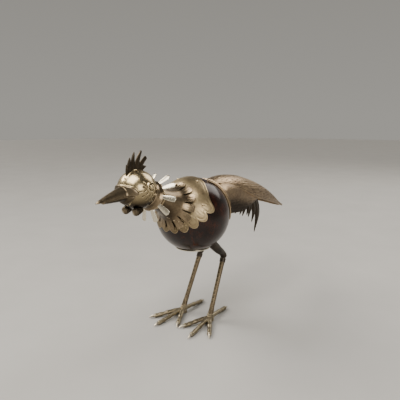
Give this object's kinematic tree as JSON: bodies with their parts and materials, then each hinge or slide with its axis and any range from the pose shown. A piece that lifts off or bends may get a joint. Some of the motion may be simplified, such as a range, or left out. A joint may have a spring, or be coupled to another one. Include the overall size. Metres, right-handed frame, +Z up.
{
  "type": "wind-up hopping chicken",
  "caption": "Wind-up hopping chicken: a polished nut body in chased silver-gilt mounts, on cast legs that rock on a hidden clockwork, with a key on its right flank.",
  "frame": {"origin": "on the floor, straight below the centre of the nut body, midway between the soles", "axes": "+Z up, -Y towards the beak, +X towards the bird's left side"},
  "size_m": [0.0653, 0.2545, 0.1368],
  "materials": {
    "polished_nut": "polished dark nut shell, near black with red-brown depth",
    "gilt_plate": "worn silver-gilt sheet, satin",
    "gilt_tail": "chased silver-gilt sheet with dark lines",
    "gilt_head": "polished silver-gilt",
    "gilt_beak": "smooth darkened silver-gilt",
    "dark_comb": "dark patina",
    "dark_feather": "dark patina with bright edges",
    "bright_silver": "bright polished silver",
    "leg_metal": "cast, worn",
    "foot_metal": "cast, worn bright on the knuckles",
    "clock_brass": "clean brass",
    "steel": "plain steel"
  },
  "bodies": {
    "body": {"nut_shell": "polished_nut", "breast_plate": "gilt_plate", "breast_rivets": "bright_silver", "rump_mount": "gilt_plate", "rump_rivets": "bright_silver", "belly_plate": "bright_silver", "belly_screws": "steel", "neck_tube": "gilt_plate", "neck_collar": "gilt_plate", "tail_top_plate": "gilt_tail", "tail_spine": "gilt_tail", "tail_side_left": "gilt_tail", "tail_side_right": "gilt_tail", "sickle_feathers_left": "dark_feather", "sickle_feathers_right": "dark_feather", "frame_plate_left": "clock_brass", "frame_plate_right": "clock_brass", "frame_pillars": "steel", "pillar_nuts": "steel", "frame_foot_bar": "clock_brass", "key_bush": "clock_brass", "mainspring": "steel"},
    "head": {"head_shell": "gilt_head", "head_sleeve": "gilt_head", "ruff": "bright_silver", "beak_upper": "gilt_beak", "beak_lower": "gilt_beak", "eye_left": "gilt_head", "eye_right": "gilt_head", "comb": "dark_comb", "wattle_left": "gilt_beak", "wattle_right": "gilt_beak"},
    "legs": {"thigh_left": "leg_metal", "thigh_right": "leg_metal", "knee_ferrule_left": "leg_metal", "knee_ferrule_right": "leg_metal", "shank_left": "leg_metal", "shank_right": "leg_metal", "foot_left": "foot_metal", "foot_right": "foot_metal", "claws_left": "bright_silver", "claws_right": "bright_silver", "hip_shaft": "steel", "hip_nuts": "steel", "leg_lever": "steel"},
    "winding": {"winding_arbor": "steel", "winding_key": "steel", "ratchet_wheel": "steel"},
    "great_wheel": {"great_wheel": "clock_brass", "click_spring": "steel"},
    "click": {"click": "steel"},
    "second_wheel": {"second_wheel": "clock_brass"},
    "crank_wheel": {"crank_wheel": "clock_brass"},
    "fly": {"fly": "clock_brass"}
  },
  "joints": [
    {"name": "head_turn", "type": "hinge", "parent": "body", "child": "head", "pos_m": [0, 0, 0.0853], "axis": [0, -0.9128, 0.4083], "range_deg": [-25, 25]},
    {"name": "legs_hop", "type": "hinge", "parent": "body", "child": "legs", "pos_m": [0, 0, 0.069], "axis": [1, 0, 0], "range_deg": [-5, 5]},
    {"name": "winding_turn", "type": "hinge", "parent": "body", "child": "winding", "pos_m": [0, 0.01199, 0.08711], "axis": [1, 0, 0], "continuous": true, "deforming": ["mainspring"]},
    {"name": "great_wheel_spin", "type": "hinge", "parent": "body", "child": "great_wheel", "pos_m": [0, 0.01199, 0.08711], "axis": [1, 0, 0], "continuous": true},
    {"name": "click_lift", "type": "hinge", "parent": "great_wheel", "child": "click", "pos_m": [0, 0.01448, 0.08243], "axis": [1, 0, 0], "range_deg": [-5, 7.5], "stiffness_Nm_per_rad": 0.0002, "deforming": ["click_spring"]},
    {"name": "second_wheel_spin", "type": "hinge", "parent": "body", "child": "second_wheel", "pos_m": [0, 0.00233, 0.08969], "axis": [1, 0, 0], "continuous": true},
    {"name": "crank_spin", "type": "hinge", "parent": "body", "child": "crank_wheel", "pos_m": [0, 0, 0.081], "axis": [1, 0, 0], "continuous": true},
    {"name": "fly_spin", "type": "hinge", "parent": "body", "child": "fly", "pos_m": [0, -0.00689, 0.08421], "axis": [1, 0, 0], "continuous": true}
  ],
  "couplings": [
    {"joint": "second_wheel_spin", "follows": "great_wheel_spin", "ratio": -4},
    {"joint": "crank_spin", "follows": "great_wheel_spin", "ratio": 16},
    {"joint": "fly_spin", "follows": "great_wheel_spin", "ratio": -60}
  ]
}
